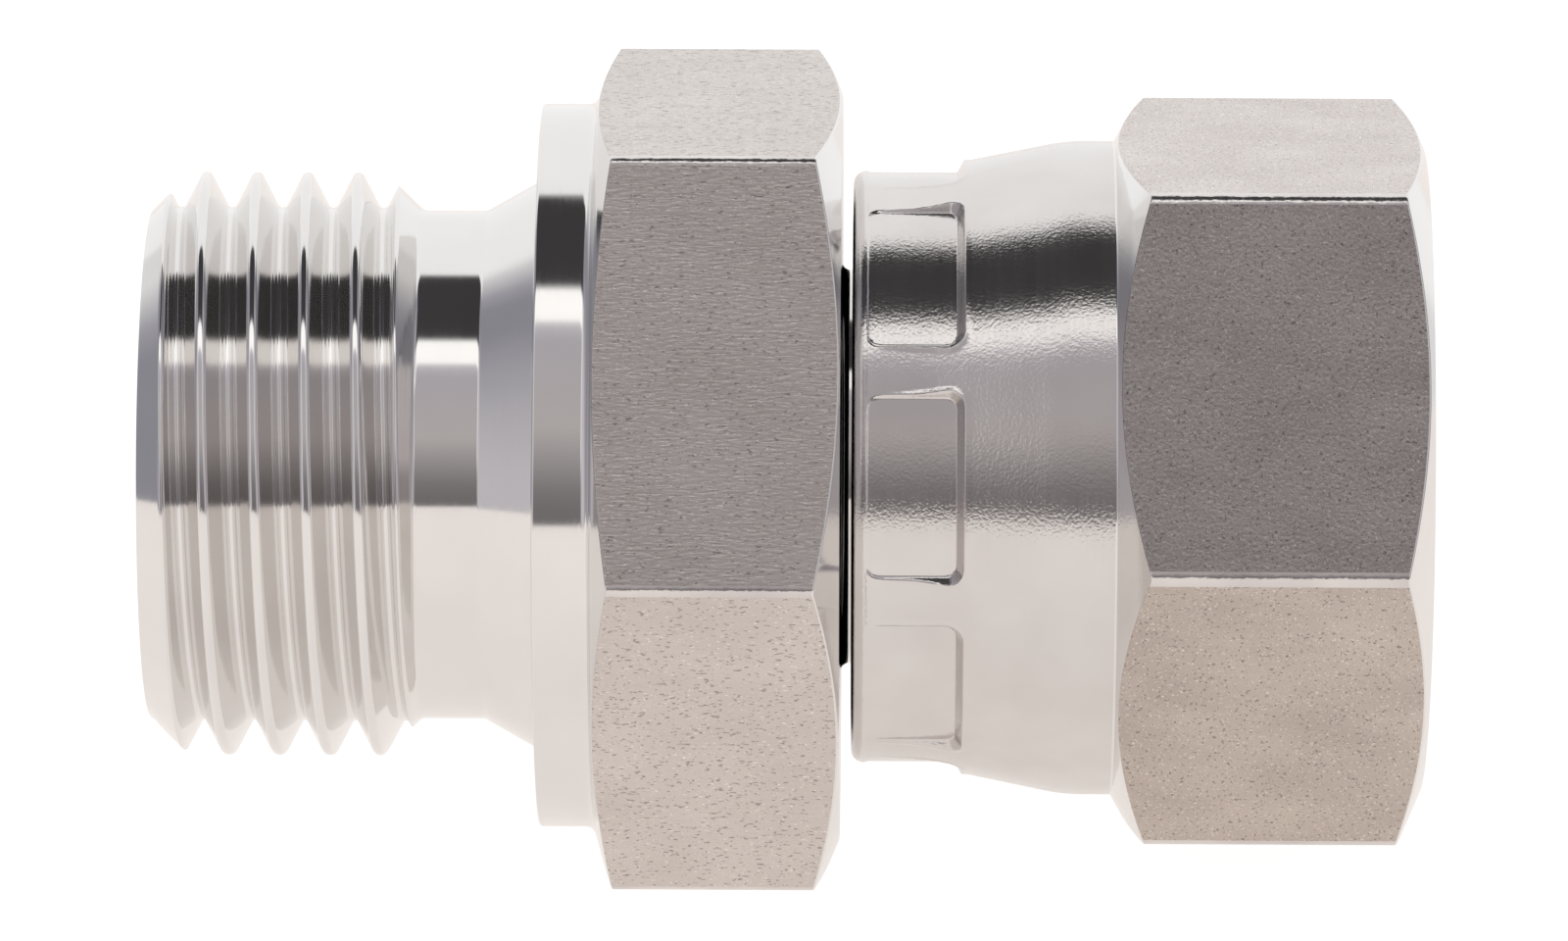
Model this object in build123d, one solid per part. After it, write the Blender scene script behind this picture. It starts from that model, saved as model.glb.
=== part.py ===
"""Hydraulic swivel adapter: a male port stud on one side, a crimped swivel nut on the other.

Lengths are in millimetres. X is the flow axis, from the stud (negative) to the nut
(positive), with x = 0 on the collar's sealing face. One flat of each hexagon faces down.
Both metal pieces are turned from hexagonal bar, so each is a turned form cut by its bar.
"""

import os
from math import cos, radians, sin, tan

from build123d import *

# Port stud, with a parallel pipe thread of size one half
port_thread_d = 20.955
port_thread_pitch = 1.814
port_thread_lead = 2.011
stud_length = 14.0
stud_chamfer = 1.38
relief_depth = 1.3575
relief_length = 2.25
relief_blend = 1.0
runout_length = 1.42
collar_root_rise = 1.13
collar_root_length = 2.0
collar_root_blend = 2.2

# Collar that seals on the port face, and the spanner hexagon behind it
collar_d = 25.95
collar_width = 1.95
collar_edge = 0.12
collar_fillet = 0.40
body_hex_flats = 27.0
body_hex_length = 8.80
body_hex_front_angle = 16.0
body_hex_back_angle = 22.4
body_hex_land = 0.12

# Flow bore through the body
flow_bore_d = 8.0
bore_chamfer = 0.6

# Spigot, shoulder and 24 degree cone that the nut turns on
spigot_d = 14.14
spigot_fillet = 0.30
shoulder_width = 0.90
shoulder_setback = 0.20
shoulder_back_angle = 45.0
shoulder_back_blend = 1.0
shoulder_edge = 0.15
nose_base_d = 14.0
nose_base_fillet = 0.30
nose_length = 5.20
nose_half_angle = 12.0
nose_edge = 0.25

# Sealing ring and its groove in the cone
ring_section_d = 1.50
groove_offset = 1.55
groove_width = 1.90
groove_depth = 1.15

# Swivel nut, with a metric thread of 20 by 1.5, kept as a plain bore
swivel_thread_d = 20.0
swivel_thread_pitch = 1.5
swivel_mouth_rise = 0.10
skirt_wall = 1.575
neck_length = 1.05
neck_fillet = 0.50
crimp_length = 6.50
crimp_depth = 1.055
tail_length = 1.75
tail_edge = 0.45
tail_bore_edge = 0.25
nut_hex_rise = 0.275
nut_hex_length = 11.10
nut_hex_front_angle = 29.5
nut_hex_back_angle = 23.3
nut_hex_land = 0.46

# Jaw marks pressed round the crimped skirt
pad_count = 8
pad_phase = 32.75
pad_arc = 36.0
pad_offset = 0.55
pad_length = 3.62
pad_depth = 0.09
pad_ramp_angle = 35.0
pad_ramp_length = 0.72
pad_ramp_blend = 1.0
pad_corner = 0.60

# Clearances between the pieces, and what a cut reaches past the metal
tail_gap = 0.40
shoulder_clearance = 0.30
thread_relief = 0.15
nose_recess = 0.20
ring_clearance = 0.02
cut_margin = 1.0

# Share of the pitch from a metric thread's major radius to its minor radius
metric_thread_depth = 0.5413

# Form of the pipe thread: lean of its flanks, and the shares of the pitch that stay flat
pipe_thread_lean = 27.5
pipe_thread_crest = 0.166
pipe_thread_root = 0.107

# Stations along the axis that follow from the sizes above
body_hex_start = collar_width
body_hex_end = body_hex_start + body_hex_length
tail_face = body_hex_end + tail_gap
crimp_start = tail_face + tail_length
crimp_end = crimp_start + crimp_length
nut_hex_start = crimp_end + neck_length
nut_end = nut_hex_start + nut_hex_length
shoulder_front = crimp_end - shoulder_setback
shoulder_back = shoulder_front - shoulder_width
nose_tip = shoulder_front + nose_length
thread_start = nose_tip + nose_recess
groove_front = shoulder_front + groove_offset
groove_back = groove_front + groove_width

# Radii that follow from the sizes above; the nut's flats come to 24 for the spanner
crest_r = port_thread_d / 2
relief_r = crest_r - relief_depth
pipe_thread_slope = tan(radians(pipe_thread_lean))
port_thread_depth = port_thread_pitch * (1 - pipe_thread_crest - pipe_thread_root) / 2 / pipe_thread_slope
port_root_r = crest_r - port_thread_depth
thread_relief_r = swivel_thread_d / 2 + thread_relief
swivel_bore_r = swivel_thread_d / 2 - metric_thread_depth * swivel_thread_pitch
mouth_r = swivel_thread_d / 2 + swivel_mouth_rise
shoulder_r = thread_relief_r - shoulder_clearance
neck_r = thread_relief_r + skirt_wall
tail_r = neck_r - crimp_depth
pad_floor_r = tail_r - pad_depth
nut_hex_flats = 2 * (neck_r + nut_hex_rise)


def nose_radius(x):
    """Radius of the sealing cone at station x."""
    return nose_base_d / 2 - (x - shoulder_front) * tan(radians(nose_half_angle))


groove_floor_r = nose_radius((groove_front + groove_back) / 2) - groove_depth


def corner_radius(flats):
    """Radius that clears the corners of a hexagon."""
    return flats / 2 / cos(radians(30)) + cut_margin


def turned(outline, blends):
    """Solid turned about X from a closed outline, with corners (x, r) rounded to a radius."""
    section = Plane.XZ * make_face(outline)
    for x, r, radius in blends:
        corner = section.vertices().sort_by_distance((x, 0, r))[0]
        section = fillet(corner, radius)
    return revolve(section, Axis.X)


def turned_corners(corners):
    """Solid turned about X from corners (x, r, rounding radius), closed along the axis."""
    outline = [(corners[0][0], 0)]
    outline += [(x, r) for x, r, radius in corners]
    outline += [(corners[-1][0], 0)]
    return turned(Polyline(*outline, close=True), [corner for corner in corners if corner[2] > 0])


def bar(flats, start, end):
    """Hexagonal bar along X with one flat down."""
    return extrude(Plane.YZ.offset(start) * RegularPolygon(flats / 2, 6, major_radius=False), end - start)


def stud_corners():
    """Port stud and its relief, from the bore's mouth to the collar's sealing face."""
    relief_end = -collar_root_length
    relief_start = relief_end - relief_length
    return [
        (-stud_length, crest_r - stud_chamfer, 0),
        (-stud_length + stud_chamfer, crest_r, 0),
        (relief_start - runout_length, crest_r, 0),
        (relief_start, relief_r, relief_blend),
        (relief_end, relief_r, collar_root_blend),
        (0, relief_r + collar_root_rise, 0),
    ]


def collar_and_hexagon_corners():
    """Collar and hexagon, with the cones that turn the hexagon's corners back."""
    collar = collar_d / 2
    corner = corner_radius(body_hex_flats)
    back_face = body_hex_flats / 2 - body_hex_land
    front_cone = (corner - collar) * tan(radians(body_hex_front_angle))
    back_cone = (corner - back_face) * tan(radians(body_hex_back_angle))
    return [
        (0, collar, collar_edge),
        (body_hex_start, collar, collar_fillet),
        (body_hex_start + front_cone, corner, 0),
        (body_hex_end - back_cone, corner, 0),
        (body_hex_end, back_face, 0),
    ]


def spigot_and_nose_corners():
    """Spigot, retaining shoulder and grooved sealing cone, from the hexagon to the tip."""
    spigot = spigot_d / 2
    back_cone = (shoulder_r - spigot) / tan(radians(shoulder_back_angle))
    return [
        (body_hex_end, spigot, spigot_fillet),
        (shoulder_back - back_cone, spigot, shoulder_back_blend),
        (shoulder_back, shoulder_r, shoulder_edge),
        (shoulder_front, shoulder_r, shoulder_edge),
        (shoulder_front, nose_base_d / 2, nose_base_fillet),
        (groove_front, nose_radius(groove_front), 0),
        (groove_front, groove_floor_r, 0),
        (groove_back, groove_floor_r, 0),
        (groove_back, nose_radius(groove_back), 0),
        (nose_tip, nose_radius(nose_tip), nose_edge),
    ]


def flow_bore():
    """Bore through the body, with a chamfer at each mouth."""
    bore = flow_bore_d / 2
    mouth = bore + bore_chamfer
    return turned_corners(
        [
            (-stud_length, mouth, 0),
            (-stud_length + bore_chamfer, bore, 0),
            (nose_tip - bore_chamfer, bore, 0),
            (nose_tip, mouth, 0),
        ]
    )


def port_thread_groove():
    """The turns of a right-hand helix of metal that the port thread's groove takes away.

    They start at the top, beyond the stud's end, and end in the relief.
    """
    start = port_thread_lead - stud_length - 1.5 * port_thread_pitch
    relief_middle = -collar_root_length - relief_length / 2
    turns = round((relief_middle - start) / port_thread_pitch)
    root_half = pipe_thread_root * port_thread_pitch / 2
    reach = pipe_thread_crest * port_thread_pitch / 4
    mouth_half = port_thread_pitch / 2 - reach
    mouth_r = crest_r + reach / pipe_thread_slope
    outline = Polyline(
        (port_root_r, -root_half),
        (mouth_r, -mouth_half),
        (mouth_r, mouth_half),
        (port_root_r, root_half),
        close=True,
    )
    path = Helix(port_thread_pitch, port_thread_pitch, port_root_r)
    turn = Rot(X=180) * Rot(Y=90) * sweep(Plane.XZ * make_face(outline), path=path, is_frenet=True)
    return [Pos(start + index * port_thread_pitch, 0, 0) * turn for index in range(turns)]


def adapter_body():
    """The one-piece body: threaded stud, collar, hexagon, spigot, shoulder and bored cone."""
    corners = stud_corners() + collar_and_hexagon_corners() + spigot_and_nose_corners()
    blank = turned_corners(corners) & bar(body_hex_flats, -stud_length, nose_tip)
    return blank - flow_bore() - port_thread_groove()


def crimp_curve(start_r, end_r):
    """Two tangent arcs along which the pressed skirt narrows from the neck to the tail."""
    start = (crimp_start, start_r)
    middle = ((crimp_start + crimp_end) / 2, (start_r + end_r) / 2)
    end = (crimp_end, end_r)
    first = TangentArc(start, middle, tangent=(1, 0))
    second = TangentArc(middle, end, tangent=first % 1)
    return Curve() + [first, second]


def nut_blank():
    """Turned form of the nut before its flats and jaw marks: skirt, neck, hexagon and bore."""
    tail_bore = tail_r - skirt_wall
    corner = corner_radius(nut_hex_flats)
    back_face = nut_hex_flats / 2 - nut_hex_land
    front_cone = (corner - neck_r) * tan(radians(nut_hex_front_angle))
    back_cone = (corner - back_face) * tan(radians(nut_hex_back_angle))
    outside = Polyline(
        (crimp_end, neck_r),
        (nut_hex_start, neck_r),
        (nut_hex_start + front_cone, corner),
        (nut_end - back_cone, corner),
        (nut_end, back_face),
        (nut_end, mouth_r),
        (nut_end - (mouth_r - swivel_bore_r), swivel_bore_r),
        (thread_start, swivel_bore_r),
        (thread_start - (thread_relief_r - swivel_bore_r), thread_relief_r),
        (crimp_end, thread_relief_r),
    )
    tail_end = Polyline(
        (crimp_start, tail_bore),
        (tail_face, tail_bore),
        (tail_face, tail_r),
        (crimp_start, tail_r),
    )
    outer_crimp = crimp_curve(tail_r, neck_r)
    inner_crimp = crimp_curve(tail_bore, thread_relief_r)
    blends = [
        (tail_face, tail_r, tail_edge),
        (tail_face, tail_bore, tail_bore_edge),
        (nut_hex_start, neck_r, neck_fillet),
    ]
    return turned(Curve() + [outside, tail_end, outer_crimp, inner_crimp], blends)


def jaw():
    """The metal that one crimping jaw presses away, at the top of the skirt."""
    start = tail_face + pad_offset
    end = start + pad_length
    ramp = end - pad_ramp_length
    reach = end + cut_margin
    core = turned_corners(
        [
            (start - cut_margin, pad_floor_r, 0),
            (ramp, pad_floor_r, pad_ramp_blend),
            (reach, pad_floor_r + (reach - ramp) * tan(radians(pad_ramp_angle)), 0),
        ]
    )
    half_arc = radians(pad_arc / 2)
    half_width = pad_floor_r * sin(half_arc)
    block_floor = pad_floor_r * cos(half_arc) - cut_margin
    face = Pos((start + end) / 2, 0, 0) * RectangleRounded(pad_length, 2 * half_width, pad_corner)
    block = extrude(Plane.XY.offset(block_floor) * face, neck_r)
    return block - core


def swivel_nut():
    """The one-piece nut: crimped skirt with its jaw marks, neck, hexagon and thread bore."""
    nut = nut_blank() & bar(nut_hex_flats, tail_face, nut_end)
    mark = jaw()
    marks = [Rot(X=pad_phase + index * 360 / pad_count) * mark for index in range(pad_count)]
    return nut - marks


def cone_o_ring():
    """Sealing ring in the cone's groove."""
    ring_r = groove_floor_r + ring_clearance + ring_section_d / 2
    centre = (groove_front + groove_back) / 2
    return Pos(centre, 0, 0) * Rot(Y=90) * Torus(ring_r, ring_section_d / 2)


def main():
    """Write one STEP file for each piece."""
    os.makedirs("parts", exist_ok=True)
    export_step(adapter_body(), "parts/adapter_body.step")
    export_step(swivel_nut(), "parts/swivel_nut.step")
    export_step(cone_o_ring(), "parts/cone_o_ring.step")


main()
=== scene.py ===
"""Looks of the hydraulic swivel adapter: threads, crimp marks, edges and steel finishes.

Shapes are given in millimetres in the row frame and written in metres: X is the flow axis
from the port stud to the nut, Z is up, and x = 0 lies on the collar's sealing face.
Angles run in degrees round the axis, from the top (+Z) towards the camera's side (-Y).
"""

from math import ceil, cos, floor, pi, radians, sin, tan

import bpy
import numpy as np
from mathutils import Matrix, Vector


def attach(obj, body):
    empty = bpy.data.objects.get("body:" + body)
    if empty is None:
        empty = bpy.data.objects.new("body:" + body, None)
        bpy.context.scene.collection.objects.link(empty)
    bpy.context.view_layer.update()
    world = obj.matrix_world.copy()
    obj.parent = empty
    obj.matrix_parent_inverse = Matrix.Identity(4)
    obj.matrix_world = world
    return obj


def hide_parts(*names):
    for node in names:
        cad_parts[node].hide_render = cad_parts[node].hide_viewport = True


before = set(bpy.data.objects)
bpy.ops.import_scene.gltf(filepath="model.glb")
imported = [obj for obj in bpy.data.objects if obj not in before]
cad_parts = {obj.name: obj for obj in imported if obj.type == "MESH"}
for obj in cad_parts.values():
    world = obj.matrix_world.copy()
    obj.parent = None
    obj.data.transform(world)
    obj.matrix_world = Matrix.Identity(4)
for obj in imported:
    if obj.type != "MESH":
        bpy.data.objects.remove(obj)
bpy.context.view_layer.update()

MM = 0.001

# Column sets: every ring has the base columns, and some have more
BASE_STEP = 1.5
HEXAGON_CORNERS = range(30, 390, 60)
CORNER_SHARES = (-1.0, -0.75, -0.5, -0.25, 0.25, 0.5, 0.75, 1.0)

# Two column sets meet in a narrow band of this width
COLUMN_GAP = 0.2

# Roundings of plain edges
EDGE_BREAK = 0.08
FINE_EDGE = 0.05
FACE_EDGE = 0.06

# Body: port stud and its thread, which is a G 1/2 parallel pipe thread
STUD_END = -14.0
STUD_RIM_R = 9.0975
STUD_RIM_EDGE = 0.04
PORT_CREST_R = 10.4775
PORT_ROOT_R = 9.21
PORT_PITCH = 1.814
PORT_HALF_ANGLE = 27.5
PORT_CREST_ROUND = 0.22
PORT_ROOT_ROUND = 0.185
PORT_CREST_X = -11.989
THREAD_BLEND = 0.04
THREAD_LEAD_IN = 0.10
RUNOUT_START = -5.67
RELIEF_START = -4.25
RELIEF_END = -2.0
RELIEF_R = 9.12
RELIEF_FRONT_ROUND = 0.25
RELIEF_BACK_ROUND = 0.35
RELIEF_BACK_BAND = 0.4
ROOT_CONE_R = 10.25

# Body: collar and hexagon
COLLAR_R = 12.975
COLLAR_END = 1.95
COLLAR_FRONT_EDGE = 0.12
COLLAR_BACK_ROUND = 0.40
COLLAR_GAP = 0.1
BODY_HEX_R = 13.5
BODY_HEX_END = 10.75
BODY_BACK_R = 13.38
BODY_FRONT_ANGLE = 16.0
BODY_BACK_ANGLE = 22.4
BODY_CORNER_ROUND = 0.42
BACK_FACE_MIDDLE_R = 9.5

# Body: spigot, shoulder, grooved cone and flow bore
SPIGOT_R = 7.07
SPIGOT_FRONT_ROUND = 0.30
SPIGOT_BACK_ROUND = 1.0
SHOULDER_R = 9.85
SHOULDER_BACK = 18.30
SHOULDER_FRONT = 19.20
SHOULDER_EDGE = 0.15
NOSE_BASE_R = 7.0
NOSE_HALF_ANGLE = 12.0
NOSE_ROOT_ROUND = 0.30
GROOVE_FRONT = 20.75
GROOVE_BACK = 22.65
GROOVE_DEPTH = 1.15
GROOVE_ROOT_ROUND = 0.10
NOSE_TIP = 24.40
NOSE_TIP_ROUND = 0.25
FLOW_R = 4.0
FLOW_CHAMFER = 0.6

# Sealing ring
RING_SECTION_R = 0.75
RING_CLEARANCE = 0.02
RING_STEP = 10

# Nut: crimped skirt and neck
TAIL_FACE = 11.15
TAIL_R = 10.67
TAIL_LIP_R = 10.62
TAIL_LIP_WIDTH = 0.5
TAIL_LIP_ROUND = 0.45
TAIL_SWELL_X = 12.2
TAIL_SWELL_R = 10.655
TAIL_BORE_R = 9.095
TAIL_BORE_ROUND = 0.25
TAIL_BORE_BAND = 0.6
CRIMP_START = 12.90
CRIMP_END = 19.40
SKIRT_BLEND = 1.3
NECK_R = 11.725
NECK_END = 20.45
NECK_BAND = 0.3
NECK_END_ROUND = 0.10

# Nut: jaw marks
PAD_COUNT = 8
PAD_PHASE = 32.75
PAD_START = 11.72
PAD_FLOOR_END = 14.85
PAD_FLOOR_R = 10.575
PAD_HALF_WIDTH = 3.18
PAD_CORNER = 0.42
PAD_SIDE_SLOPE = 1.6
PAD_START_SLOPE = 1.0
PAD_END_SLOPE = 1.75
PAD_BLEND = 0.05
PAD_LIP = 0.045
PAD_LIP_WIDTH = 0.13
PAD_LIP_START = 12.0
PAD_LIP_FADE = 1.5
PADS_END = 15.7

# Nut: hexagon, mouth, M20 x 1.5 thread and relief
NUT_HEX_R = 12.0
NUT_END = 31.55
NUT_BACK_R = 11.54
NUT_FRONT_ANGLE = 29.5
NUT_BACK_ANGLE = 23.3
NUT_CORNER_ROUND = 0.55
NUT_FACE_MIDDLE_R = 11.2
MOUTH_R = 10.10
NUT_CREST_R = 9.188
NUT_ROOT_R = 10.0
NUT_PITCH = 1.5
NUT_HALF_ANGLE = 30.0
NUT_CREST_ROUND = 0.06
NUT_ROOT_ROUND = 0.12
NUT_CREST_X = 25.2
THREAD_START = 24.60
NUT_RELIEF_R = 10.15

# Light tent: the tones that the steel mirrors, and the brightest of them
TENT_PEAK = 1.5
TENT_WHITE = (1.02, 1.02, 1.02)
TENT_SIDE_WHITE = (0.84, 0.84, 0.84)
TENT_BLACK = (0.050, 0.047, 0.050)
TENT_STRIP = (1.24, 1.23, 1.21)
TENT_DUSK = (0.165, 0.155, 0.16)

# Where the mirrored direction's X part passes from one zone of the tent to the next
FRAME_ZONE = (0.44, 0.46)
SIDE_ZONES = (0.585, 0.615)
LEFT_TO_RIGHT = (-0.05, 0.05)

# White paper under the fitting: its reach, and how bright it is seen and mirrored
TABLE_SIDE = 115.0
TABLE_FRONT = -336.0
TABLE_BACK = 600.0
PAPER_SEEN = 0.90
PAPER_MIRRORED = 0.76
PAPER_WARMTH = (1.0, 0.945, 0.90)
PAPER_TONE = (0.38, 0.37, 0.365)

# Marks on the flats: the noise's lowest and highest places, and how soft their borders are
MARK_LOW = 0.26
MARK_HIGH = 0.74
MARK_BORDER = 0.03
# Bright specks on the flats are painted glints: spots of paler steel for the sparkle of the grain.
SPECK_SCALE = 1.31
PAINTED_GLINT_TONE = 1.35
PIT_TONE = 0.62

# Camera of the photograph
CAMERA_AZIMUTH = 0.573
CAMERA_ELEVATION = 16.40
CAMERA_ROLL = 0.1315
CAMERA_TARGET = (8.692, 0.0, -0.165)
CAMERA_DISTANCE = 404.95
CAMERA_LENS = 258.79
CAMERA_SENSOR = 36.0


def hexagon_radius(angles, flat_r, corner_round):
    """Radius of a hexagon with rounded corners and a flat on top, at each angle."""
    off_corner = np.radians(np.abs((angles % 60) - 30))
    centre_r = (flat_r - corner_round) / cos(radians(30))
    on_flat = flat_r / np.cos(radians(30) - off_corner)
    across = np.clip(corner_round**2 - (centre_r * np.sin(off_corner)) ** 2, 0, None)
    on_corner = centre_r * np.cos(off_corner) + np.sqrt(across)
    return np.where(off_corner < radians(corner_spread(flat_r, corner_round)), on_corner, on_flat)


def corner_spread(flat_r, corner_round):
    """Angle from a hexagon's corner to where its rounding meets the flat."""
    centre_r = (flat_r - corner_round) / cos(radians(30))
    tangent = np.arctan2(corner_round * sin(radians(30)), centre_r + corner_round * cos(radians(30)))
    return float(np.degrees(tangent))


def corner_columns(flat_r, corner_round):
    """Angles of the extra columns round a hexagon's corners."""
    spread = corner_spread(flat_r, corner_round)
    return [corner + share * spread for corner in HEXAGON_CORNERS for share in CORNER_SHARES]


class Lathe:
    """A closed turned mesh. Rings of vertices run round the axis and bands of faces join them."""

    def __init__(self, extra_columns, corner_half=0.0):
        """extra_columns maps a name to the angles that rings of that name have besides the base.

        corner_half is the angle from a hexagon's corner to where its rounding meets the flat.
        """
        base = np.arange(0, 360, BASE_STEP)
        tagged = [(angle, "base") for angle in base]
        for name, angles in extra_columns.items():
            tagged += [(angle % 360, name) for angle in angles]
        tagged.sort()
        self.angles = np.array([angle for angle, name in tagged])
        names = [name for angle, name in tagged]
        numbers = np.arange(len(names))
        middles = (self.angles + np.append(self.angles[1:], 360)) / 2
        self.at_corner = np.abs(middles % 60 - 30) < corner_half
        self.kept = {}
        for wanted in set(names):
            present = np.array([name in ("base", wanted) for name in names])
            self.kept[wanted] = np.maximum.accumulate(np.where(present, numbers, 0))
        self.x = []
        self.r = []
        self.index = []
        self.finish = []

    def ring(self, x, r, finish, columns="base"):
        """Add one ring, with the finish of the band between it and the next ring.

        A finish may be a pair: the one on a hexagon's flats and the one on its corners.
        """
        count = len(self.angles)
        first = count * len(self.x)
        index = first + self.kept[columns]
        self.x.append(np.broadcast_to(np.asarray(x, float), count))
        self.r.append(np.broadcast_to(np.asarray(r, float), count))
        self.index.append(np.append(index, index[0]))
        self.finish.append(finish)

    def corners(self, corners, columns="base", closing=False):
        """Add the rings of a line of corners (x, r, rounding, finish after it, cuts after it).

        In a closing line the last corner is the mesh's first ring again, and adds none.
        """
        count = len(self.angles)
        points = [
            np.stack([np.broadcast_to(x, count), np.broadcast_to(r, count)])
            for x, r, *_ in corners
        ]
        for number, (x, r, rounding, finish, cuts) in enumerate(corners):
            if closing and number == len(corners) - 1:
                break
            here = points[number]
            if rounding and 0 < number < len(corners) - 1:
                arc = rounded(points[number - 1], here, points[number + 1], rounding)
            else:
                arc = [here]
            for point in arc:
                self.ring(point[0], point[1], finish, columns)
            if cuts:
                after = points[number + 1]
                for share in np.arange(1, cuts) / cuts:
                    between = arc[-1] + (after - arc[-1]) * share
                    self.ring(between[0], between[1], finish, columns)

    def thread(self, low, high, crest_x, pitch, stations, radius, finish, inward=False):
        """Add the rings that follow a right-hand helix, clipped to the rings at low and high.

        The ring at the near clip is the last one so far, and the caller adds the far one next.
        radius gives the radii of a row from its clipped and its own stations.
        """
        count = len(self.angles)
        turns = self.angles / 360
        first_turn = floor((low - crest_x) / pitch) - 2
        last_turn = ceil((high - crest_x) / pitch) + 2
        starts = [turn + station for turn in range(first_turn, last_turn) for station in stations]
        rows = [crest_x + pitch * (start + turns) for start in starts]
        near = self.index[-1]
        far_number = len(self.x) + len(rows)
        far = count * far_number + self.kept["base"]
        far = np.append(far, far[0])
        low_index, high_index = (far, near) if inward else (near, far)
        snap = 0.3 * pitch / len(stations)
        indices = []
        for number, x in enumerate(rows):
            index = count * (len(self.x) + number) + self.kept["base"]
            index = np.where(x[self.kept["base"]] < low + snap, low_index[:-1], index)
            index = np.where(x[self.kept["base"]] > high - snap, high_index[:-1], index)
            indices.append(index)
        closed = []
        for number, index in enumerate(indices):
            turned = number + len(stations)
            seam = indices[turned][0] if turned < len(indices) else high_index[0]
            closed.append(np.append(index, seam))
        for x in rows:
            self.x.append(np.clip(x, low, high))
            self.r.append(radius(np.clip(x, low, high), x))
        self.index += closed[::-1] if inward else closed
        self.finish += [finish] * len(rows)

    def build(self, name, finishes):
        """Make the mesh object, with one material slot for each finish."""
        x = np.concatenate(self.x) * MM
        r = np.concatenate(self.r) * MM
        angle = np.radians(np.tile(self.angles, len(self.x)))
        places = np.stack([x, -r * np.sin(angle), r * np.cos(angle)], axis=1)
        faces = []
        slots = []
        for number, near in enumerate(self.index):
            far = self.index[(number + 1) % len(self.index)]
            finish = self.finish[number]
            pair = finish if isinstance(finish, tuple) else (finish, finish)
            on_flat, on_corner = (finishes.index(each) for each in pair)
            for column, corners in enumerate(zip(near[:-1], near[1:], far[1:], far[:-1])):
                face = [int(vertex) for vertex in dict.fromkeys(corners)]
                if len(face) > 2:
                    faces.append(face)
                    slots.append(on_corner if self.at_corner[column] else on_flat)
        used = np.unique(np.concatenate([np.array(face) for face in faces]))
        renumber = {int(old): new for new, old in enumerate(used)}
        mesh = bpy.data.meshes.new(name)
        mesh.from_pydata(places[used].tolist(), [], [[renumber[v] for v in face] for face in faces])
        mesh.polygons.foreach_set("material_index", slots)
        mesh.polygons.foreach_set("use_smooth", [True] * len(faces))
        for finish in finishes:
            mesh.materials.append(finish)
        mesh.update()
        piece = bpy.data.objects.new(name, mesh)
        bpy.context.scene.collection.objects.link(piece)
        weigh_normals(mesh)
        return piece


def weigh_normals(mesh):
    """Set vertex normals that large faces decide, so that flats stay flat up to their edges."""
    normals = np.zeros((len(mesh.vertices), 3))
    face_normals = np.empty(len(mesh.polygons) * 3)
    areas = np.empty(len(mesh.polygons))
    mesh.polygons.foreach_get("normal", face_normals)
    mesh.polygons.foreach_get("area", areas)
    weights = face_normals.reshape(-1, 3) * areas[:, None]
    totals = np.empty(len(mesh.polygons), int)
    mesh.polygons.foreach_get("loop_total", totals)
    corners = np.empty(len(mesh.loops), int)
    mesh.loops.foreach_get("vertex_index", corners)
    np.add.at(normals, corners, np.repeat(weights, totals, axis=0))
    normals /= np.linalg.norm(normals, axis=1)[:, None]
    mesh.normals_split_custom_set_from_vertices(normals.tolist())


def rounded(before, here, after, radius):
    """Points of the arc that rounds a corner, where each point is an array over the columns."""
    back = before - here
    ahead = after - here
    back = back / np.linalg.norm(back, axis=0)
    ahead = ahead / np.linalg.norm(ahead, axis=0)
    half = np.arccos(np.clip((back * ahead).sum(axis=0), -1, 1)) / 2
    bisector = back + ahead
    bisector = bisector / np.linalg.norm(bisector, axis=0)
    centre = here + bisector * radius / np.sin(half)
    start = here + back * radius / np.tan(half) - centre
    end = here + ahead * radius / np.tan(half) - centre
    turn = pi - 2 * half
    steps = 3 if radius < 0.1 else 5 if radius < 0.6 else 9
    arc = []
    for share in np.arange(steps + 1) / steps:
        mixed = np.sin((1 - share) * turn) * start + np.sin(share * turn) * end
        arc.append(centre + mixed / np.sin(turn))
    return arc


def smooth_min(a, b, width):
    """The lower of two heights, blended where they are closer than the width."""
    share = np.clip(0.5 + 0.5 * (b - a) / width, 0, 1)
    return b + (a - b) * share - width * share * (1 - share)


def s_curve(start, end, steps):
    """Points of two tangent arcs between two levels, without the first and last."""
    (x0, r0), (x1, r1) = start, end
    half_x, half_r = (x1 - x0) / 2, (r1 - r0) / 2
    lean = np.arctan2(abs(half_r), abs(half_x))
    radius = np.hypot(half_x, half_r) / (2 * sin(lean))
    points = []
    for share in np.arange(1, 2 * steps) / steps:
        turn = 2 * lean * min(share, 2 - share)
        dx, dr = radius * sin(turn), radius * (1 - cos(turn))
        if share <= 1:
            points.append((x0 + np.sign(half_x) * dx, r0 + np.sign(half_r) * dr))
        else:
            points.append((x1 - np.sign(half_x) * dx, r1 - np.sign(half_r) * dr))
    return points


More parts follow.
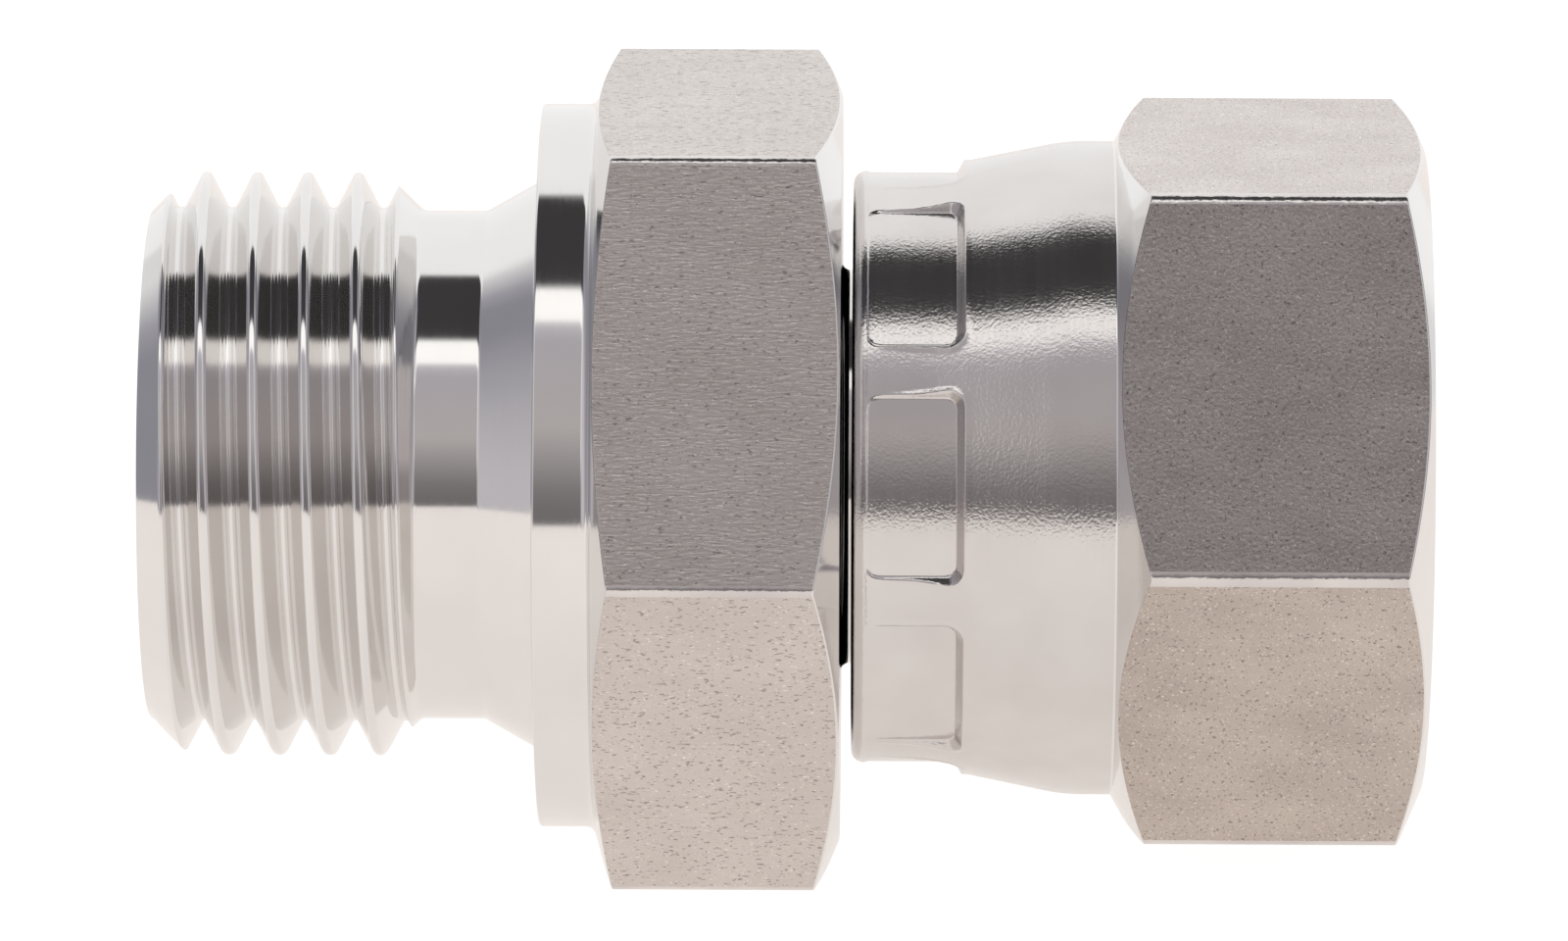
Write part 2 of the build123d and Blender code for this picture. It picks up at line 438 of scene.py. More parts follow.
def thread_depth(along, pitch, half_angle, crest_round, root_round, crest_half=0.0):
    """Depth below the crest at a distance along the axis from a crest's middle."""
    off = np.abs((along / pitch + 0.5) % 1 - 0.5) * pitch
    lean = radians(half_angle)
    crest_end = crest_half + crest_round * cos(lean)
    root_start = pitch / 2 - root_round * cos(lean)
    crest_drop = crest_round * (1 - sin(lean))
    flank_drop = (root_start - crest_end) / tan(lean)
    floor_depth = crest_drop + flank_drop + root_round * (1 - sin(lean))
    past_crest = np.clip(off - crest_half, 0, None)
    on_crest = crest_round - np.sqrt(np.clip(crest_round**2 - past_crest**2, 0, None))
    on_flank = crest_drop + (off - crest_end) / tan(lean)
    to_root = pitch / 2 - off
    on_root = floor_depth - root_round + np.sqrt(np.clip(root_round**2 - to_root**2, 0, None))
    return np.where(off < crest_end, on_crest, np.where(off < root_start, on_flank, on_root))


def thread_stations(pitch, half_angle, crest_round, root_round, crest_half=0.0, flank_cuts=6):
    """Shares of the pitch, from a crest's middle, at which the thread has its rows."""
    lean = radians(half_angle)
    turn = pi / 2 - lean
    arc = np.sin(np.arange(5) / 4 * turn)
    crest = crest_half + crest_round * arc
    root = pitch / 2 - root_round * arc[::-1]
    flank = np.linspace(crest[-1], root[0], flank_cuts + 1)[1:-1]
    half = np.unique(np.round(np.concatenate([[0.0], crest, flank, root]) / pitch, 6))
    return np.unique(np.round(np.concatenate([half, 1 - half[1:-1]]), 6))


def stud_outline():
    """The stud's turned outline under its thread: chamfer, crest cylinder, runout and relief."""
    chamfer = PORT_CREST_R - STUD_RIM_R
    corners = [
        (STUD_END, STUD_RIM_R, 0),
        (STUD_END + chamfer, PORT_CREST_R, 0),
        (RUNOUT_START, PORT_CREST_R, 0),
        (RELIEF_START, RELIEF_R, RELIEF_FRONT_ROUND),
        (RELIEF_END, RELIEF_R, 0),
    ]
    points = [np.array(corner[:2])[:, None] for corner in corners]
    outline = []
    for number, (x, r, rounding) in enumerate(corners):
        if rounding:
            outline += rounded(points[number - 1], points[number], points[number + 1], rounding)
        else:
            outline.append(points[number])
    return np.concatenate(outline, axis=1)


def nose_radius(x):
    """Radius of the sealing cone at a station."""
    return NOSE_BASE_R - (x - SHOULDER_FRONT) * tan(radians(NOSE_HALF_ANGLE))


def groove_floor():
    """Radius of the floor of the cone's groove."""
    return nose_radius((GROOVE_FRONT + GROOVE_BACK) / 2) - GROOVE_DEPTH


def adapter_body(finishes):
    """The one-piece body with its port thread, collar, hexagon, spigot and grooved cone."""
    turned, flats, edges, bore = finishes
    spread = corner_spread(BODY_HEX_R, BODY_CORNER_ROUND)
    lathe = Lathe({"hexagon": corner_columns(BODY_HEX_R, BODY_CORNER_ROUND)}, spread)
    outline_x, outline_r = stud_outline()
    form = (PORT_PITCH, PORT_HALF_ANGLE, PORT_CREST_ROUND, PORT_ROOT_ROUND)
    depth_total = thread_depth(np.array([PORT_PITCH / 2]), *form)[0]
    deepening = (PORT_CREST_R - PORT_ROOT_R) / depth_total

    def port_radius(x, helix_x):
        blank = np.interp(x, outline_x, outline_r)
        along = helix_x - PORT_CREST_X - PORT_PITCH * lathe.angles / 360
        threaded = PORT_CREST_R - thread_depth(along, *form) * deepening
        return smooth_min(threaded, blank, THREAD_BLEND)

    low, high = STUD_END + THREAD_LEAD_IN, RELIEF_START + THREAD_LEAD_IN
    mouth_r = FLOW_R + FLOW_CHAMFER
    lathe.corners(
        [
            (STUD_END + FLOW_CHAMFER, FLOW_R, 0, turned, 0),
            (STUD_END, mouth_r, FINE_EDGE, turned, 4),
            (STUD_END, STUD_RIM_R, STUD_RIM_EDGE, turned, 0),
            (low, STUD_RIM_R + THREAD_LEAD_IN, 0, turned, 0),
        ]
    )
    lathe.thread(low, high, PORT_CREST_X, PORT_PITCH, thread_stations(*form), port_radius, turned)
    runout = [(high, np.interp(high, outline_x, outline_r))]
    runout += [(x, r) for x, r in zip(outline_x, outline_r) if high < x < RELIEF_END]
    collar_middle = COLLAR_END / 2
    lathe.corners([(x, r, 0, turned, 0) for x, r in runout])
    lathe.corners(
        [
            (runout[-1][0] + RELIEF_BACK_BAND, RELIEF_R, 0, turned, 0),
            (RELIEF_END, RELIEF_R, RELIEF_BACK_ROUND, turned, 3),
            (0, ROOT_CONE_R, FACE_EDGE, turned, 3),
            (0, COLLAR_R, COLLAR_FRONT_EDGE, turned, 0),
            (collar_middle, COLLAR_R, 0, turned, 0),
        ]
    )
    hexagon = hexagon_radius(lathe.angles, BODY_HEX_R, BODY_CORNER_ROUND)
    front = COLLAR_END + (hexagon - COLLAR_R) * tan(radians(BODY_FRONT_ANGLE))
    back = BODY_HEX_END - (hexagon - BODY_BACK_R) * tan(radians(BODY_BACK_ANGLE))
    lathe.corners(
        [
            (collar_middle + COLLAR_GAP, COLLAR_R, 0, turned, 0),
            (COLLAR_END, COLLAR_R, COLLAR_BACK_ROUND, turned, 0),
            (front, hexagon, EDGE_BREAK, (flats, edges), 6),
            (back, hexagon, EDGE_BREAK, turned, 0),
            (BODY_HEX_END, BODY_BACK_R, FACE_EDGE, turned, 3),
            (BODY_HEX_END, BACK_FACE_MIDDLE_R, 0, turned, 0),
        ],
        "hexagon",
    )
    groove_r = groove_floor()
    lathe.corners(
        [
            (BODY_HEX_END, BACK_FACE_MIDDLE_R - COLUMN_GAP, 0, turned, 0),
            (BODY_HEX_END, SPIGOT_R, SPIGOT_FRONT_ROUND, turned, 4),
            (SHOULDER_BACK - SHOULDER_R + SPIGOT_R, SPIGOT_R, SPIGOT_BACK_ROUND, turned, 3),
            (SHOULDER_BACK, SHOULDER_R, SHOULDER_EDGE, turned, 2),
            (SHOULDER_FRONT, SHOULDER_R, SHOULDER_EDGE, turned, 3),
            (SHOULDER_FRONT, NOSE_BASE_R, NOSE_ROOT_ROUND, turned, 2),
            (GROOVE_FRONT, nose_radius(GROOVE_FRONT), FINE_EDGE, turned, 2),
            (GROOVE_FRONT, groove_r, GROOVE_ROOT_ROUND, turned, 2),
            (GROOVE_BACK, groove_r, GROOVE_ROOT_ROUND, turned, 2),
            (GROOVE_BACK, nose_radius(GROOVE_BACK), FINE_EDGE, turned, 2),
            (NOSE_TIP, nose_radius(NOSE_TIP), NOSE_TIP_ROUND, turned, 2),
            (NOSE_TIP, mouth_r, FINE_EDGE, turned, 2),
            (NOSE_TIP - FLOW_CHAMFER, FLOW_R, FINE_EDGE, bore, 8),
            (STUD_END + FLOW_CHAMFER, FLOW_R, 0, turned, 0),
        ],
        closing=True,
    )
    return lathe.build("adapter_body_steel", [turned, flats, edges, bore])


def pad_angles():
    """Angles of the extra columns at the sides of the jaw marks."""
    half = np.degrees(PAD_HALF_WIDTH / PAD_FLOOR_R)
    on_floor = np.arange(-1.9, 0.0, 0.32)
    on_wall = np.arange(0.0, 2.3, 0.24)
    steps = np.concatenate([on_floor, on_wall])
    angles = []
    for centre in PAD_PHASE + np.arange(PAD_COUNT) * 360 / PAD_COUNT:
        angles += [centre + half + step for step in steps]
        angles += [centre - half - step for step in steps]
    return angles


def skirt_radius(x):
    """Radius of the crimped skirt's outside at a station, without its jaw marks."""
    slope = (NECK_R - TAIL_R) / (CRIMP_END - CRIMP_START - SKIRT_BLEND)
    shares = np.arange(11) / 10
    along = SKIRT_BLEND * shares
    rise = slope * SKIRT_BLEND * shares**2 / 2
    at_tail = [(CRIMP_START + dx, TAIL_R + dr) for dx, dr in zip(along, rise)]
    at_neck = [(CRIMP_END - dx, NECK_R - dr) for dx, dr in zip(along, rise)]
    curve = [(TAIL_FACE, TAIL_LIP_R), (TAIL_SWELL_X, TAIL_SWELL_R)]
    curve += at_tail + at_neck[::-1] + [(NECK_END, NECK_R)]
    stations, radii = zip(*curve)
    return float(np.interp(x, stations, radii))


def marked_radius(x, angles):
    """Radius of the skirt at one station and all angles, with the jaw marks pressed in."""
    skirt = skirt_radius(x)
    step = 360 / PAD_COUNT
    off = (angles - PAD_PHASE + step / 2) % step - step / 2
    side = np.abs(np.radians(off)) * PAD_FLOOR_R
    out_side = side - PAD_HALF_WIDTH + PAD_CORNER
    out_end = x - PAD_FLOOR_END + PAD_CORNER
    out_start = PAD_START + PAD_CORNER - x
    along = np.maximum(out_end, out_start)
    across = np.clip(out_side, 0, None)
    ahead = np.clip(along, 0, None)
    outward = np.hypot(across, ahead)
    distance = outward + np.minimum(np.maximum(out_side, along), 0) - PAD_CORNER
    facing = (ahead / np.maximum(outward, 1e-6)) ** 2
    end_slope = PAD_END_SLOPE if out_end > out_start else PAD_START_SLOPE
    slope = PAD_SIDE_SLOPE + (end_slope - PAD_SIDE_SLOPE) * facing
    wall = PAD_FLOOR_R + slope * np.clip(distance, 0, None)
    edge_distance = distance - (skirt - PAD_FLOOR_R) / slope
    swell = np.clip((x - PAD_LIP_START) / PAD_LIP_FADE, 0, 1)
    lip = PAD_LIP * np.exp(-((edge_distance / PAD_LIP_WIDTH) ** 2)) * swell
    return smooth_min(skirt + lip, wall, PAD_BLEND)


def skirt_stations():
    """Stations of the skirt's rings, closest where the jaw marks begin and end."""
    stations = [11.70, 11.76, 11.84, 11.92, 12.02, 12.15, 12.3, 12.6, 12.9]
    stations += [13.1, 13.3, 13.5, 13.7, 13.9, 14.05, 14.2, 14.4, 14.52]
    stations += [14.60 + 0.04 * step for step in range(20)]
    stations += [15.45, 15.6, 15.9, 16.5, 17.2, 17.9, 18.1, 18.3, 18.5, 18.7, 18.9, 19.1, 19.3]
    return stations + [CRIMP_END]


def swivel_nut(finishes):
    """The one-piece nut: crimped skirt with its jaw marks, neck, hexagon and female thread."""
    turned, crimped, flats, edges, bore = finishes
    spread = corner_spread(NUT_HEX_R, NUT_CORNER_ROUND)
    columns = {"hexagon": corner_columns(NUT_HEX_R, NUT_CORNER_ROUND), "marks": pad_angles()}
    lathe = Lathe(columns, spread)
    lathe.corners(
        [
            (TAIL_FACE + TAIL_BORE_BAND, TAIL_BORE_R, 0, turned, 0),
            (TAIL_FACE, TAIL_BORE_R, TAIL_BORE_ROUND, turned, 2),
            (TAIL_FACE, TAIL_LIP_R, TAIL_LIP_ROUND, crimped, 0),
            (TAIL_FACE + TAIL_LIP_WIDTH, TAIL_LIP_R, 0, crimped, 0),
        ]
    )
    for x in skirt_stations():
        if x < PADS_END:
            lathe.ring(x, marked_radius(x, lathe.angles), crimped, "marks")
        else:
            lathe.ring(x, skirt_radius(x), crimped)
    hexagon = hexagon_radius(lathe.angles, NUT_HEX_R, NUT_CORNER_ROUND)
    front = NECK_END + (hexagon - NECK_R) * tan(radians(NUT_FRONT_ANGLE))
    back = NUT_END - (hexagon - NUT_BACK_R) * tan(radians(NUT_BACK_ANGLE))
    lathe.corners(
        [
            (CRIMP_END + NECK_BAND, NECK_R, 0, crimped, 0),
            (NECK_END, NECK_R, NECK_END_ROUND, turned, 0),
            (front, hexagon, EDGE_BREAK, (flats, edges), 8),
            (back, hexagon, EDGE_BREAK, turned, 0),
            (NUT_END, NUT_BACK_R, EDGE_BREAK, turned, 0),
            (NUT_END, NUT_FACE_MIDDLE_R, 0, turned, 0),
        ],
        "hexagon",
    )
    relief_end = THREAD_START - NUT_RELIEF_R + NUT_CREST_R
    low, high = relief_end + THREAD_LEAD_IN, NUT_END - FACE_EDGE
    lathe.corners(
        [
            (NUT_END, NUT_FACE_MIDDLE_R - COLUMN_GAP, 0, turned, 0),
            (NUT_END, MOUTH_R, FINE_EDGE, turned, 0),
            (high, MOUTH_R - FACE_EDGE, 0, turned, 0),
        ]
    )
    flat = NUT_PITCH / 8 - NUT_CREST_ROUND * tan(radians(NUT_HALF_ANGLE))
    form = (NUT_PITCH, NUT_HALF_ANGLE, NUT_CREST_ROUND, NUT_ROOT_ROUND, flat)
    depth_total = thread_depth(np.array([NUT_PITCH / 2]), *form)[0]
    deepening = (NUT_ROOT_R - NUT_CREST_R) / depth_total

    def nut_radius(x, helix_x):
        mouth = MOUTH_R - (NUT_END - x)
        step = NUT_CREST_R + (THREAD_START - x)
        blank = np.maximum(np.maximum(mouth, step), NUT_CREST_R)
        along = helix_x - NUT_CREST_X - NUT_PITCH * lathe.angles / 360
        threaded = NUT_CREST_R + thread_depth(along, *form) * deepening
        return -smooth_min(-threaded, -blank, THREAD_BLEND)

    stations = thread_stations(*form, flank_cuts=3)
    lathe.thread(low, high, NUT_CREST_X, NUT_PITCH, stations, nut_radius, bore, inward=True)
    inner = s_curve((CRIMP_END, NUT_RELIEF_R), (CRIMP_START, TAIL_BORE_R), 6)
    lathe.corners(
        [
            (low, NUT_CREST_R + THREAD_START - low, 0, bore, 0),
            (relief_end, NUT_RELIEF_R, FINE_EDGE, bore, 3),
            (CRIMP_END, NUT_RELIEF_R, 0, bore, 0),
        ]
        + [(x, r, 0, bore, 0) for x, r in inner]
        + [(CRIMP_START, TAIL_BORE_R, 0, bore, 0)]
    )
    return lathe.build("swivel_nut_steel", [turned, crimped, flats, edges, bore])


def sealing_ring(finish):
    """The rubber ring in the cone's groove."""
    lathe = Lathe({})
    centre_x = (GROOVE_FRONT + GROOVE_BACK) / 2
    centre_r = groove_floor() + RING_CLEARANCE + RING_SECTION_R
    for turn in np.radians(np.arange(-180, 180, RING_STEP)):
        x = centre_x + RING_SECTION_R * sin(turn)
        lathe.ring(x, centre_r + RING_SECTION_R * cos(turn), finish)
    return lathe.build("cone_o_ring_rubber", [finish])


def node_adder(tree):
    """A helper that adds a node to a tree, with its inputs as values or links, and its settings."""

    def add(kind, inputs=None, **settings):
        node = tree.nodes.new(kind)
        for key, value in settings.items():
            setattr(node, key, value)
        for key, value in (inputs or {}).items():
            if isinstance(value, bpy.types.NodeSocket):
                tree.links.new(value, node.inputs[key])
            else:
                node.inputs[key].default_value = value
        return node

    return add


def new_material(name):
    """A material with its Principled shader, the helper that adds nodes, and its links."""
    material = bpy.data.materials.new(name)
    material.use_nodes = True
    tree = material.node_tree
    return material, tree.nodes["Principled BSDF"], node_adder(tree), tree.links


def ramp_stops(ramp, stops):
    """Set a colour ramp's stops from (position, colour or grey)."""
    elements = ramp.color_ramp.elements
    while len(elements) > 1:
        elements.remove(elements[0])
    for number, (position, colour) in enumerate(stops):
        element = elements[0] if number == 0 else elements.new(position)
        element.position = position
        tone = (colour, colour, colour) if isinstance(colour, (int, float)) else colour
        element.color = (*tone, 1)
    return ramp


def stretched(add, scale):
    """Object coordinates stretched by a scale for each axis, per metre."""
    coordinates = add("ShaderNodeTexCoord")
    return add("ShaderNodeMapping", {0: coordinates.outputs["Object"], 3: scale}).outputs[0]


def noise(add, scale, detail=2.0, roughness=0.5):
    """Noise between 0 and 1 over object coordinates stretched by a scale for each axis."""
    inputs = {"Vector": stretched(add, scale), "Scale": 1.0, "Detail": detail, "Roughness": roughness}
    return add("ShaderNodeTexNoise", inputs).outputs["Fac"]


def tone_ramp(add, factor, stops):
    """Colour from a factor between 0 and 1."""
    return ramp_stops(add("ShaderNodeValToRGB", {"Fac": factor}), stops).outputs["Color"]


def spread_out(add, value, low, high, start=0.0, end=1.0):
    """A value mapped from one range to another, and held at its ends."""
    return add("ShaderNodeMapRange", {0: value, 1: low, 2: high, 3: start, 4: end}).outputs[0]


def bumped(add, height, strength, distance, normal=None):
    """Normal bent by a height field."""
    inputs = {"Height": height, "Strength": strength, "Distance": distance * MM}
    if normal is not None:
        inputs["Normal"] = normal
    return add("ShaderNodeBump", inputs).outputs[0]


def maths(add, operation, first, second):
    """The result of a maths node."""
    return add("ShaderNodeMath", {0: first, 1: second}, operation=operation).outputs[0]


def mixed(add, share, first, second, blend="MIX"):
    """Two colours, mixed or blended by a share."""
    inputs = {0: share, 6: first, 7: second}
    return add("ShaderNodeMix", inputs, data_type="RGBA", blend_type=blend).outputs[2]


def split_round_axis(add, vector):
    """A vector's X part, its part towards the camera's side, and its angle round the X axis.

    The angle runs from the bottom over the back, the top and the camera's side, as 0 to 1.
    """
    split = add("ShaderNodeSeparateXYZ", {0: vector})
    towards = maths(add, "MULTIPLY", split.outputs["Y"], -1.0)
    over = maths(add, "ARCTAN2", towards, split.outputs["Z"])
    return split.outputs["X"], towards, spread_out(add, over, -pi, pi)


def turned_steel(name, base, dark, roughness, line_bump, grain_bump=0.0, grain_scale=9000):
    """Steel turned on a lathe, with fine lines round the axis, and some grain if asked for."""
    material, shader, add, links = new_material(name)
    shader.inputs["Metallic"].default_value = 1.0
    cloud = noise(add, (300, 300, 300), 3)
    links.new(tone_ramp(add, cloud, [(0.3, dark), (0.7, base)]), shader.inputs["Base Color"])
    lines = noise(add, (14000, 60, 60), 2)
    rough = spread_out(add, lines, 0.3, 0.7, roughness * 0.85, roughness * 1.2)
    links.new(rough, shader.inputs["Roughness"])
    normal = bumped(add, lines, line_bump, 0.02)
    if grain_bump:
        grain = noise(add, (grain_scale,) * 3, 2)
        normal = bumped(add, grain, grain_bump, 0.05, normal)
    links.new(normal, shader.inputs["Normal"])
    return material


def marks(add, scale, share, dark):
    """Mask of small scattered marks, where a noise is at its lowest or its highest."""
    level = MARK_LOW + share if dark else MARK_HIGH - share
    ends = (1.0, 0.0) if dark else (0.0, 1.0)
    field = noise(add, scale, 1.0)
    return spread_out(add, field, level - MARK_BORDER, level + MARK_BORDER, *ends)


def painted_shade_of_flat(add, painted_flat_shades):
    """Painted shade and reflection of the hexagon's flat that a point is on, from the lowest flat
    over the back.
    """
    place = add("ShaderNodeTexCoord").outputs["Object"]
    angle = split_round_axis(add, place)[2]
    ramp = add("ShaderNodeValToRGB", {"Fac": angle})
    starts = [0.0] + [(60 * number - 30) / 360 for number in range(1, 6)]
    ramp_stops(ramp, list(zip(starts, painted_flat_shades)) + [(330 / 360, painted_flat_shades[0])])
    ramp.color_ramp.interpolation = "CONSTANT"
    return ramp.outputs["Color"]


def flat_steel(name, base, dark, painted_flat_shades, roughness, grain, grain_bump, mark_scale, pits, specks):
    """Satin steel of a hexagon's flats, with grain, dark pits, bright specks painted as glints, and
    painted shade by flat.

    tones are painted shade and reflection, one level for each of the six flats, for how much
    light each flat mirrors. grain and mark_scale are the scales of the grain and of the marks for
    each axis, and pits and specks are how widely each of the two is spread.
    """
    material, shader, add, links = new_material(name)
    shader.inputs["Metallic"].default_value = 1.0
    cloud = noise(add, (260, 420, 420), 3)
    plain = tone_ramp(add, cloud, [(0.3, dark), (0.7, base)])
    pit = marks(add, mark_scale, pits, True)
    # Bright specks are painted glints: spots of paler steel for the sparkle of the grain.
    glint_speck = marks(add, tuple(scale * SPECK_SCALE for scale in mark_scale), specks, False)
    glint_colour = tuple(min(1.0, tone * PAINTED_GLINT_TONE) for tone in base)
    deep = tuple(tone * PIT_TONE for tone in dark)
    with_painted_glints = mixed(add, glint_speck, plain, (*glint_colour, 1))
    marked = mixed(add, pit, with_painted_glints, (*deep, 1))
    # Painted shade: each flat's colour is darkened by its own level, for how much light that flat
    # mirrors.
    flat_shaded_colour = mixed(add, 1.0, marked, painted_shade_of_flat(add, painted_flat_shades), "MULTIPLY")
    links.new(flat_shaded_colour, shader.inputs["Base Color"])
    rough = noise(add, grain, 2)
    gloss = spread_out(add, rough, 0.3, 0.7, roughness * 0.85, roughness * 1.2)
    links.new(gloss, shader.inputs["Roughness"])
    normal = bumped(add, rough, grain_bump, 0.05)
    hole = maths(add, "MULTIPLY", pit, -1.0)
    links.new(bumped(add, hole, 0.6, 0.03, normal), shader.inputs["Normal"])
    return material


def rubber():
    """Matt black nitrile rubber."""
    material, shader, add, links = new_material("nitrile_rubber")
    tone = noise(add, (2500, 2500, 2500), 3)
    links.new(tone_ramp(add, tone, [(0.3, 0.018), (0.7, 0.032)]), shader.inputs["Base Color"])
    links.new(spread_out(add, tone, 0.3, 0.7, 0.5, 0.62), shader.inputs["Roughness"])
    links.new(bumped(add, tone, 0.2, 0.02), shader.inputs["Normal"])
    return material


def camera():
    """The camera of the photograph, fitted to the rims and the hexagon's corners."""
    azimuth, elevation, roll = (radians(a) for a in (CAMERA_AZIMUTH, CAMERA_ELEVATION, CAMERA_ROLL))
    back = Vector((sin(azimuth) * cos(elevation), -cos(azimuth) * cos(elevation), sin(elevation)))
    right = Vector((cos(azimuth), sin(azimuth), 0))
    up = back.cross(right)
    right, up = right * cos(roll) + up * sin(roll), up * cos(roll) - right * sin(roll)
    place = (Vector(CAMERA_TARGET) + back * CAMERA_DISTANCE) * MM
    data = bpy.data.cameras.new("photo_camera")
    data.lens = CAMERA_LENS
    data.sensor_width = CAMERA_SENSOR
    data.clip_start = 0.01
    data.clip_end = 20.0
    seen = bpy.data.objects.new("photo_camera", data)
    bpy.context.scene.collection.objects.link(seen)
    turn = Matrix((right, up, back)).transposed().to_4x4()
    seen.matrix_world = Matrix.Translation(place) @ turn
    bpy.context.scene.camera = seen


def light_tent(add):
    """Colour of the tent that the steel mirrors, by direction.

    Across the X axis the tent is seen in three zones: the middle, the frame round it and the
    sides. The middle and the frame change with the angle round that axis, from the top towards
    the camera, and each side with the compass direction, from the camera's side to the back.
    """
    direction = add("ShaderNodeTexCoord").outputs["Generated"]
    sideways, towards, turn = split_round_axis(add, direction)
    side = add("ShaderNodeMath", {0: sideways}, operation="ABSOLUTE").outputs[0]
    bearing = spread_out(add, maths(add, "ARCTAN2", side, towards), -pi, pi)

    def zone(factor, stops):
        scaled = []
        for degrees, tone in stops:
            scaled.append(((degrees + 180) / 360, tuple(part / TENT_PEAK for part in tone)))
        return tone_ramp(add, factor, scaled)

    middle = zone(
        turn,
        [
            (-92, TENT_WHITE),
            (-22.0, TENT_WHITE),
            (-20.8, TENT_BLACK),
            (15.2, TENT_BLACK),
            (16.0, TENT_STRIP),
            (27.2, TENT_STRIP),
            (28.4, (0.58, 0.56, 0.60)),
            (34.0, (0.47, 0.45, 0.48)),
            (62.0, (0.50, 0.47, 0.47)),
            (72.0, (0.36, 0.34, 0.345)),
            (82.0, (0.23, 0.215, 0.22)),
            (92.0, TENT_DUSK),
            (96.0, TENT_DUSK),
        ],
    )
    frame_zone = zone(
        turn,
        [
            (-92, TENT_WHITE),
            (-22.0, TENT_WHITE),
            (-19.0, (0.34, 0.35, 0.39)),
            (14.0, (0.26, 0.27, 0.31)),
            (18.0, (0.85, 0.84, 0.85)),
            (70.0, (0.82, 0.79, 0.79)),
            (80.0, (0.40, 0.38, 0.39)),
            (96.0, (0.30, 0.28, 0.29)),
        ],
    )
    left_side = zone(
        bearing,
        [
            (0, (0.58, 0.56, 0.58)),
            (58, (0.62, 0.60, 0.63)),
            (74, (0.44, 0.43, 0.47)),
            (94, (0.30, 0.30, 0.34)),
            (108, (0.30, 0.30, 0.34)),
            (116, (0.40, 0.40, 0.44)),
            (130, TENT_SIDE_WHITE),
            (180, TENT_SIDE_WHITE),
        ],
    )
    right_side = zone(
        bearing,
        [
            (0, (0.54, 0.52, 0.54)),
            (60, (0.52, 0.50, 0.53)),
            (92, (0.49, 0.48, 0.52)),
            (110, (0.26, 0.26, 0.29)),
            (124, (0.22, 0.22, 0.25)),
            (131, TENT_SIDE_WHITE),
            (180, TENT_SIDE_WHITE),
        ],
    )
    sides = mixed(add, spread_out(add, sideways, *LEFT_TO_RIGHT), left_side, right_side)
    inner = mixed(add, spread_out(add, side, *FRAME_ZONE), middle, frame_zone)
    return mixed(add, spread_out(add, side, *SIDE_ZONES), inner, sides)


def studio():
    """The world: a light tent for the steel and plain white behind the fitting."""
    world = bpy.data.worlds.new("studio")
    bpy.context.scene.world = world
    world.use_nodes = True
    world.node_tree.nodes.clear()
    add = node_adder(world.node_tree)
    tent = add("ShaderNodeBackground", {"Color": light_tent(add), "Strength": TENT_PEAK})
    backdrop = add("ShaderNodeBackground", {"Color": (1, 1, 1, 1), "Strength": 1.0})
    seen = add("ShaderNodeLightPath").outputs["Is Camera Ray"]
    both = add("ShaderNodeMixShader", {0: seen, 1: tent.outputs[0], 2: backdrop.outputs[0]})
    add("ShaderNodeOutputWorld", {"Surface": both.outputs[0]})


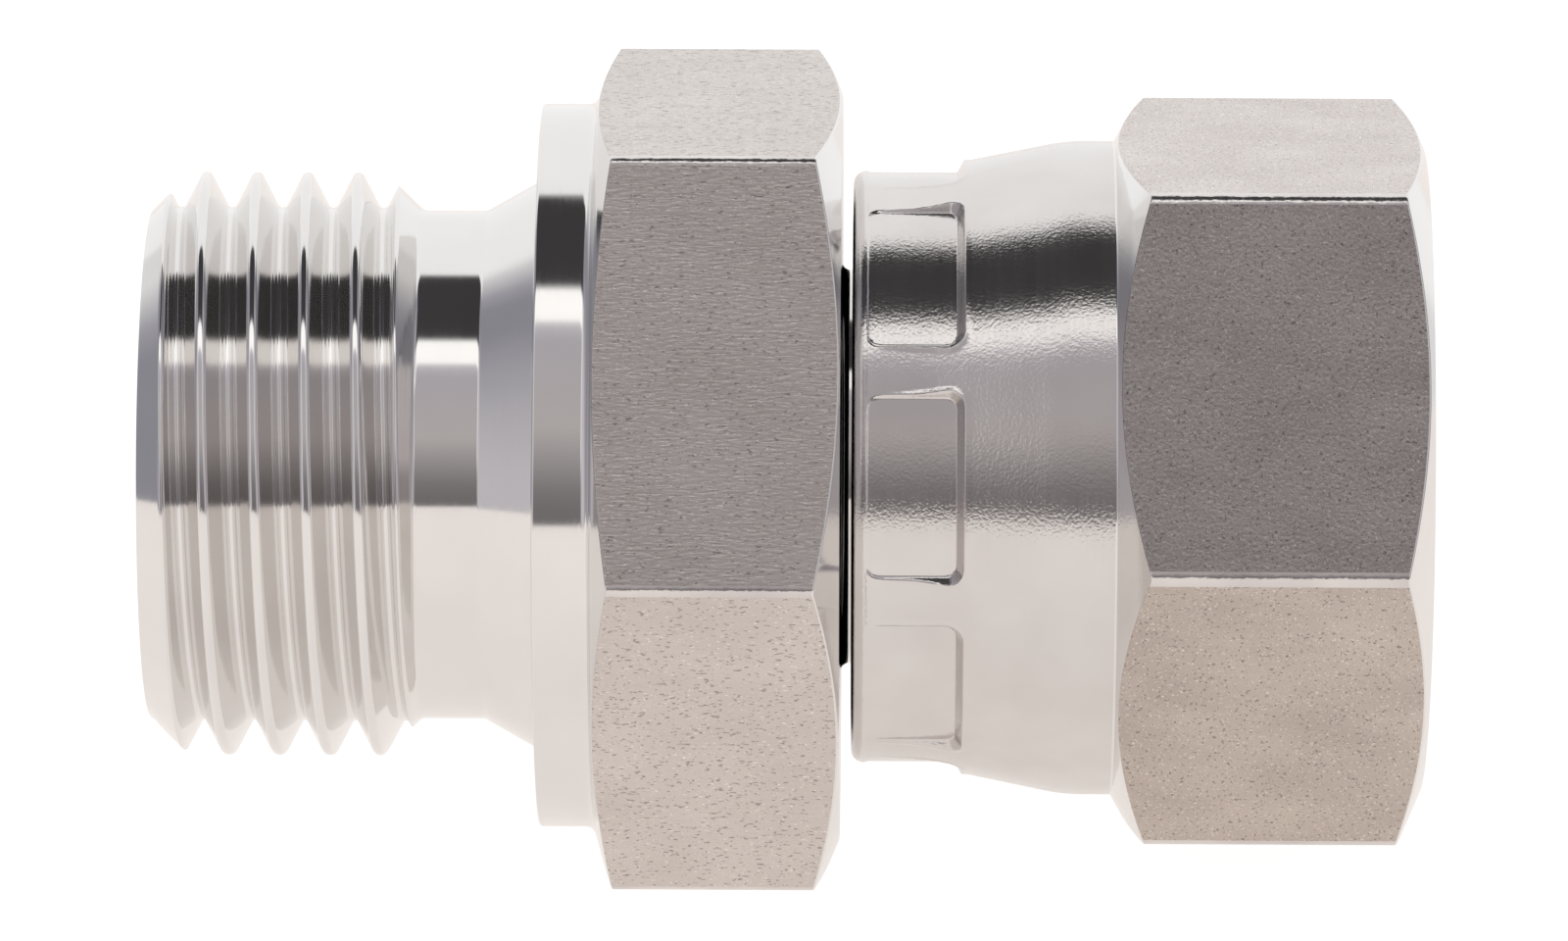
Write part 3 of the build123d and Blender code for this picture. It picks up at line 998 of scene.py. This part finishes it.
def table_top():
    """White paper on the table, which shows white behind the fitting and keeps a soft shadow."""
    low = -BODY_HEX_R
    left, right = BODY_HEX_END / 2 - TABLE_SIDE, BODY_HEX_END / 2 + TABLE_SIDE
    corners = [(left, TABLE_FRONT), (right, TABLE_FRONT), (right, TABLE_BACK), (left, TABLE_BACK)]
    mesh = bpy.data.meshes.new("table_top")
    mesh.from_pydata([(x * MM, y * MM, low * MM) for x, y in corners], [], [(0, 1, 2, 3)])
    material, shader, add, links = new_material("white_paper")
    rays = add("ShaderNodeLightPath").outputs
    mirrored = maths(add, "MAXIMUM", rays["Is Glossy Ray"], rays["Is Transmission Ray"])
    seen_glow = maths(add, "MULTIPLY", rays["Is Camera Ray"], PAPER_SEEN)
    mirrored_glow = maths(add, "MULTIPLY", mirrored, PAPER_MIRRORED)
    direct = add("ShaderNodeEmission", {"Color": (1, 1, 1, 1), "Strength": seen_glow})
    warm = (*PAPER_WARMTH, 1)
    reflected = add("ShaderNodeEmission", {"Color": warm, "Strength": mirrored_glow})
    plain = add("ShaderNodeBsdfDiffuse", {"Color": (*PAPER_TONE, 1)})
    glow = add("ShaderNodeAddShader", {0: direct.outputs[0], 1: reflected.outputs[0]})
    both = add("ShaderNodeAddShader", {0: glow.outputs[0], 1: plain.outputs[0]})
    links.new(both.outputs[0], material.node_tree.nodes["Material Output"].inputs["Surface"])
    material.node_tree.nodes.remove(shader)
    mesh.materials.append(material)
    top = bpy.data.objects.new("table_top", mesh)
    bpy.context.scene.collection.objects.link(top)


def main():
    """Build the pieces round the frame, with their finishes, light and camera."""
    bpy.context.scene.view_settings.view_transform = "Standard"
    turned = turned_steel(
        "turned_steel",
        base=(0.81, 0.795, 0.78),
        dark=(0.78, 0.76, 0.75),
        roughness=0.085,
        line_bump=0.05,
    )
    crimped = turned_steel(
        "crimped_steel",
        base=(0.73, 0.705, 0.69),
        dark=(0.68, 0.65, 0.635),
        roughness=0.14,
        line_bump=0.06,
        grain_bump=0.16,
    )
    edges = turned_steel(
        "worn_edge_steel",
        base=(0.80, 0.77, 0.75),
        dark=(0.66, 0.62, 0.61),
        roughness=0.17,
        line_bump=0.05,
        grain_bump=0.5,
        grain_scale=3000,
    )
    bore = turned_steel(
        "bored_steel",
        base=(0.76, 0.74, 0.73),
        dark=(0.70, 0.68, 0.67),
        roughness=0.18,
        line_bump=0.2,
    )
    body_flats = flat_steel(
        "drawn_steel_flats",
        base=(0.71, 0.655, 0.62),
        dark=(0.65, 0.595, 0.56),
        # Painted shade and reflection: one level for each flat of the body's hexagon.
        painted_flat_shades=[1.0, 0.94, 0.98, 0.98, 0.85, 0.98],
        roughness=0.28,
        grain=(2200, 11000, 11000),
        grain_bump=0.6,
        mark_scale=(4500, 11000, 11000),
        pits=0.07,
        specks=0.04,
    )
    nut_flats = flat_steel(
        "grained_steel_flats",
        base=(0.80, 0.735, 0.70),
        dark=(0.68, 0.615, 0.59),
        # Painted shade and reflection: one level for each flat of the nut's hexagon, one of them
        # tinted warm.
        painted_flat_shades=[0.75, 0.70, 0.78, 0.93, 0.54, (0.76, 0.73, 0.69)],
        roughness=0.30,
        grain=(7500, 7500, 7500),
        grain_bump=1.0,
        mark_scale=(8500, 8500, 8500),
        pits=0.06,
        specks=0.07,
    )
    body = adapter_body([turned, body_flats, edges, bore])
    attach(body, "body")
    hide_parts("adapter_body")
    nut = swivel_nut([turned, crimped, nut_flats, edges, bore])
    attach(nut, "nut")
    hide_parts("swivel_nut")
    ring = sealing_ring(rubber())
    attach(ring, "body")
    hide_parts("cone_o_ring")
    camera()
    studio()
    table_top()


main()
